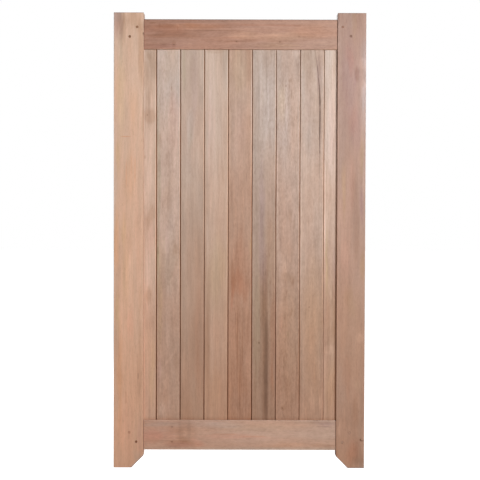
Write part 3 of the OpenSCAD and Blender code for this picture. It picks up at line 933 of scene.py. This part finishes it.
board = Board(8, "b59683", seed=145, streaks=0.9, flecks=1.0)
board.patch(BROWN, -20, 690, 60, 300, 0.6)
board.patch(BROWN, 20, 700, 50, 160, 0.5)
board.patch(DARK, 24, 600, 20, 420, 0.7)
board.patch(COOL, 0, 380, 90, 220, 0.6)
board.patch(ORANGE, 5, -270, 110, 440, 0.45)
board.patch(PALE, 30, -620, 20, 260, 0.9)
board.streak(HOLE, 27, 480, 5.5, 640, 0.8, bend=-33, broken=True)
board.streak(HOLE, 26, 470, 8, 200, 0.35, broken=True)
board.streak(DARK, 34, 440, 6, 180, 0.5)
board.patch(PALE, 10, 60, 80, 260, 0.7)
board.patch(PALE, -2, -640, 24, 200, 0.8)
board.streak(BROWN, 24, 150, 4, 140, 0.4)
board.patch(VIOLET, 24, 640, 28, 220, 0.4)
board.patch(PINK, -22, 560, 44, 320, 0.4)
board.patch(PALE, -15, 150, 44, 420, 0.4)
board.knot(-13, -283, 4, 0.7)
board.patch(ORANGE, 20, -600, 34, 320, 0.3)
# A painted highlight on the left bevel.
board.patch(BRIGHT, -47, 10, 9, 800, 1.0, crisp=True)
board.patch(BRIGHT, -12, -165, 60, 200, 0.4)
board.patch(PALE, 25, 190, 24, 140, 0.8)
board.patch(PALE, 33, -690, 24, 80, 0.9)
board.patch(BRIGHT, 34, -580, 20, 400, 0.2)
board.patch(SHADE, -9, 522, 40, 120, 0.5)
board.patch(PALE, -36, 300, 22, 200, 0.8)
board.patch(BROWN, -44, -620, 12, 260, 0.3)
board.patch(PALE, -16, 277, 44, 140, 0.5)
board.patch(BRIGHT, -41, -235, 14, 110, 0.4)
# The crisp pale strips on the bevels are painted highlights, and the orange one is painted warm shade in the
# V joint.
board.patch(BRIGHT, -48.5, 250, 5, 280, 0.9, crisp=True)
board.patch(BROWN, -40, 700, 24, 130, 0.35)
board.patch(BROWN, 40, 710, 16, 110, 0.3)
board.patch(BRIGHT, 42.4, -540, 4, 520, 1.0, crisp=True)
board.patch(PALE, 43, -600, 5, 360, 1.0, crisp=True)
board.patch(BROWN, 36, -420, 12, 640, 0.4, crisp=True)
board.patch(TAN, 0, -400, 110, 620, 0.3)
board.patch(ORANGE, -49.4, -480, 4, 520, 0.7, crisp=True)
board.finish(left=(0.4, 0.1, 0.7), right=(0.1, 0.75, 0.55))

board = Board(9, "c0a08c", seed=157, streaks=1.25, flecks=0.6)
board.patch(BRIGHT, -10, 370, 50, 440, 0.6)
board.patch(COOL, -5, 330, 60, 400, 0.8)
board.patch(BROWN, 12, 690, 28, 130, 0.4)
board.patch(BROWN, 12, -310, 30, 420, 0.75)
board.patch(PALE, -18, 120, 20, 300, 0.7)
board.patch(PALE, 0, 560, 60, 440, 0.2)
board.patch(PINK, 4, 420, 44, 320, 0.5)
board.patch(PALE, -24, 20, 14, 520, 0.7)
board.patch(TAN, -18, -110, 16, 300, 0.9)
board.patch(VIOLET, 12, -150, 18, 280, 0.4)
board.patch(RED, -12, -300, 22, 150, 0.3)
board.patch(BRIGHT, -4, -454, 50, 42, 0.55, crisp=True)
board.patch(TAN, 0, -600, 50, 260, 0.4)
board.patch(BRIGHT, 17, 340, 10, 460, 0.6)
board.patch(BROWN, 2, -380, 30, 120, 0.35)
# Painted shadow of the right stile, warm, on the board beside it, fading out above the middle.
stile_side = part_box("right_stile")[0].x - board.middle.x
shadow_beside_stile = board.ramp(board.x, stile_side - 0.007, stile_side - 0.003)
lower_half = board.ramp(board.z, 0, 0.35, 1, 0)
board.tint(board.calc("MULTIPLY", shadow_beside_stile, lower_half), (0.96, 0.86, 0.78))
# This crisp pale strip and the one three lines down are painted highlights on the left bevel.
board.patch(BRIGHT, -28, 60, 8, 560, 0.9, crisp=True)
board.patch(BRIGHT, 14, 483, 14, 100, 0.5)
board.patch(BRIGHT, 15, 174, 14, 110, 0.4)
board.patch(BRIGHT, -27, 130, 8, 440, 0.8, crisp=True)
board.patch(TAN, 0, -300, 60, 420, 0.25)
board.finish(left=(0.15, 0.05, 0.55))

# ---- Pegs ----
# Round hardwood pegs, driven right through stiles and tenons and cut off just under both faces,
# so that their end grain shows. Dust has darkened most; those at the bottom right hardly show.

peg_tones = {
    "peg_top_left_1": "90694c", "peg_top_left_2": "7c5539", "peg_top_right_1": "886350",
    "peg_top_right_2": "785544", "peg_bottom_left_1": "88573c", "peg_bottom_left_2": "c48f72",
    "peg_bottom_right_1": "b28a73", "peg_bottom_right_2": "b48d76",
}
peg_radius = 0.005
dirt_width = 0.0014

for number, (name, tone) in enumerate(peg_tones.items()):
    peg = Timber(name, tone, seed=200 + 9 * number, grain="y")
    off_centre = peg.make("ShaderNodeCombineXYZ", {0: peg.x, 1: peg.z})[0]
    radius = peg.make("ShaderNodeVectorMath", {0: off_centre}, operation="LENGTH")["Value"]
    dirt = peg.ramp(radius, peg_radius - dirt_width, peg_radius - 0.0001)
    peg.tint(dirt, (0.62, 0.54, 0.48), 0.8)
    peg.finish()
